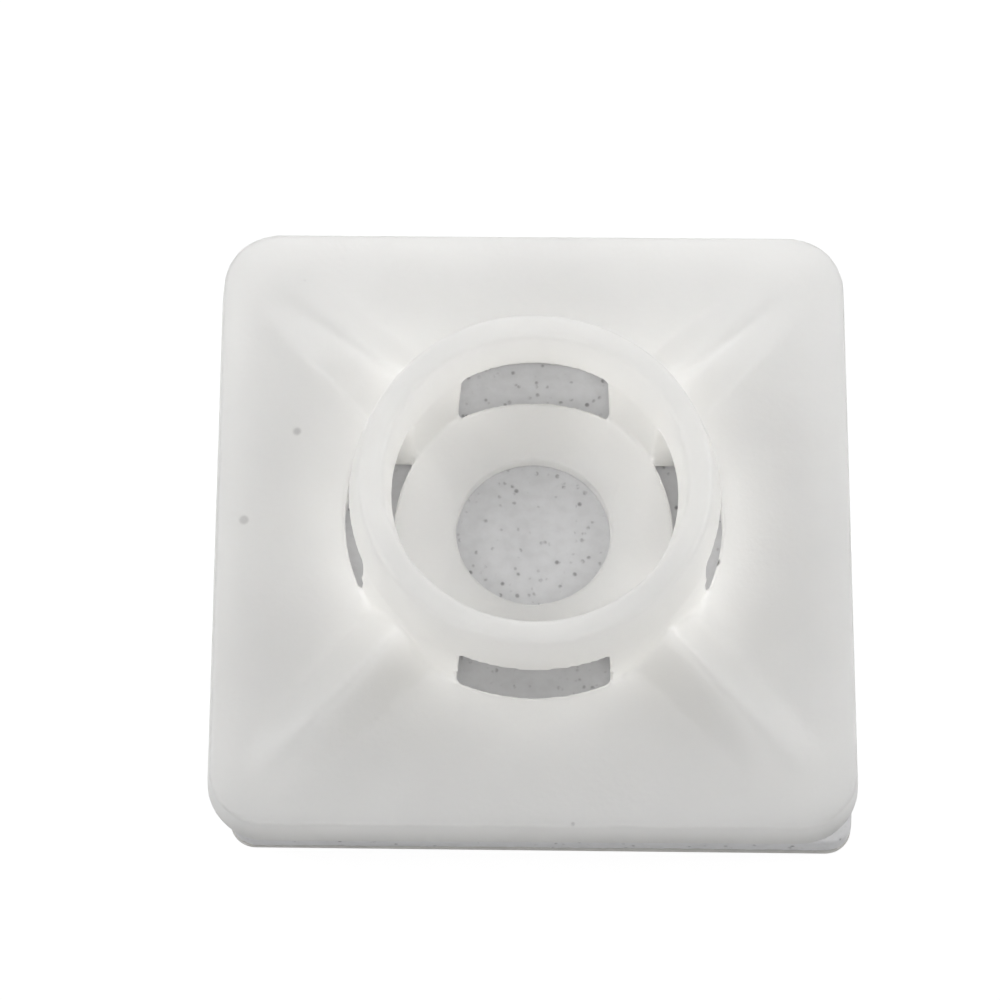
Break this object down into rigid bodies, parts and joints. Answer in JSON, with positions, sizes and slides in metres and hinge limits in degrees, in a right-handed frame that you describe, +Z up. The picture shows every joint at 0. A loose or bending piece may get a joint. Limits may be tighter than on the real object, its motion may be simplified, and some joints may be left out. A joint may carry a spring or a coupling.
{
  "type": "cable tie mount",
  "caption": "Square self-adhesive base with a round ring on corner legs, sloped ribs and slots for a cable tie in either direction, and a screw hole in the well.",
  "frame": {"origin": "on the surface it stands on, under the axis of the screw hole, at the centre of the square base", "axes": "+Z up through the screw hole and the ring, X and Y along the two pairs of tie slots"},
  "size_m": [0.02, 0.02, 0.0061],
  "materials": {
    "nylon": "satin",
    "foam": "matte",
    "liner": "smooth"
  },
  "bodies": {
    "root": {"mount_body": "nylon", "foam_pad": "foam", "release_liner": "liner"}
  },
  "joints": []
}
